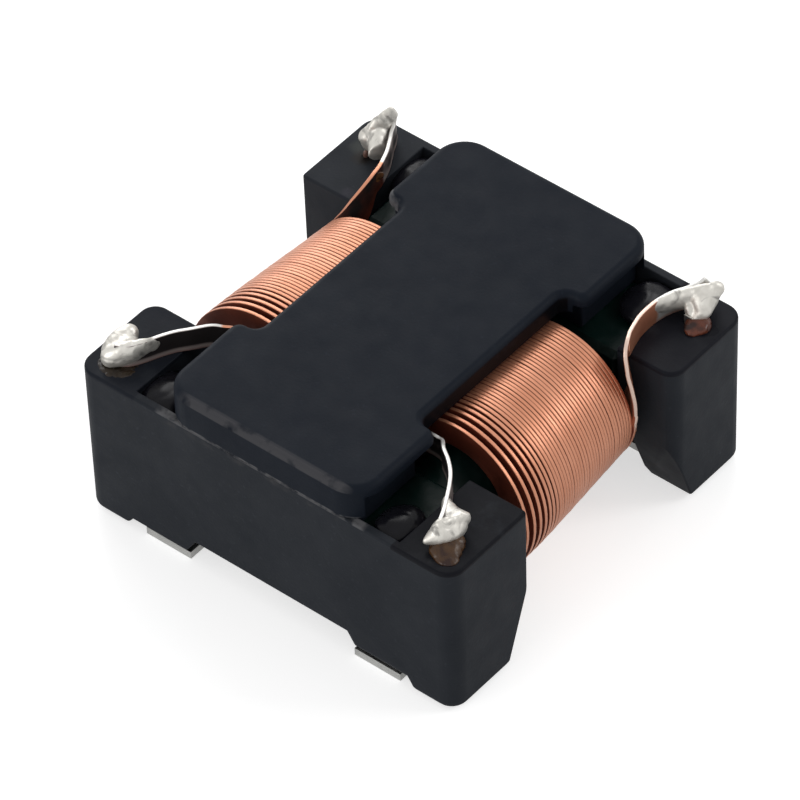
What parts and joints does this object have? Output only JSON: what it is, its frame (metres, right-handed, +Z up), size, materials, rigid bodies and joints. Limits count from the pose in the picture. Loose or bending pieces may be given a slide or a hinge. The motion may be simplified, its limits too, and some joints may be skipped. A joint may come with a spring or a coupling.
{
  "type": "common mode choke",
  "caption": "Surface-mount choke: two edgewise flat-wire windings on a ferrite frame in a black carrier with corner towers and a flat cover.",
  "frame": {"origin": "centre of the footprint, on the board surface that the feet and pads rest on", "axes": "+Z up from the board, X across the two windings, Y along them"},
  "size_m": [0.016, 0.0156, 0.0081],
  "materials": {
    "moulding": "satin",
    "ferrite": "matt coat",
    "enamelled_copper": "clear enamel",
    "tinned_copper": "satin",
    "solder": "bright",
    "epoxy": "gloss"
  },
  "bodies": {
    "root": {"base": "moulding", "cover": "moulding", "core_half_near": "ferrite", "core_half_far": "ferrite", "winding_left": "enamelled_copper", "winding_right": "enamelled_copper", "terminal_near_left": "tinned_copper", "solder_joint_near_left": "solder", "glue_bead_near_left": "epoxy", "terminal_near_right": "tinned_copper", "solder_joint_near_right": "solder", "glue_bead_near_right": "epoxy", "terminal_far_left": "tinned_copper", "solder_joint_far_left": "solder", "glue_bead_far_left": "epoxy", "terminal_far_right": "tinned_copper", "solder_joint_far_right": "solder", "glue_bead_far_right": "epoxy"}
  },
  "joints": []
}
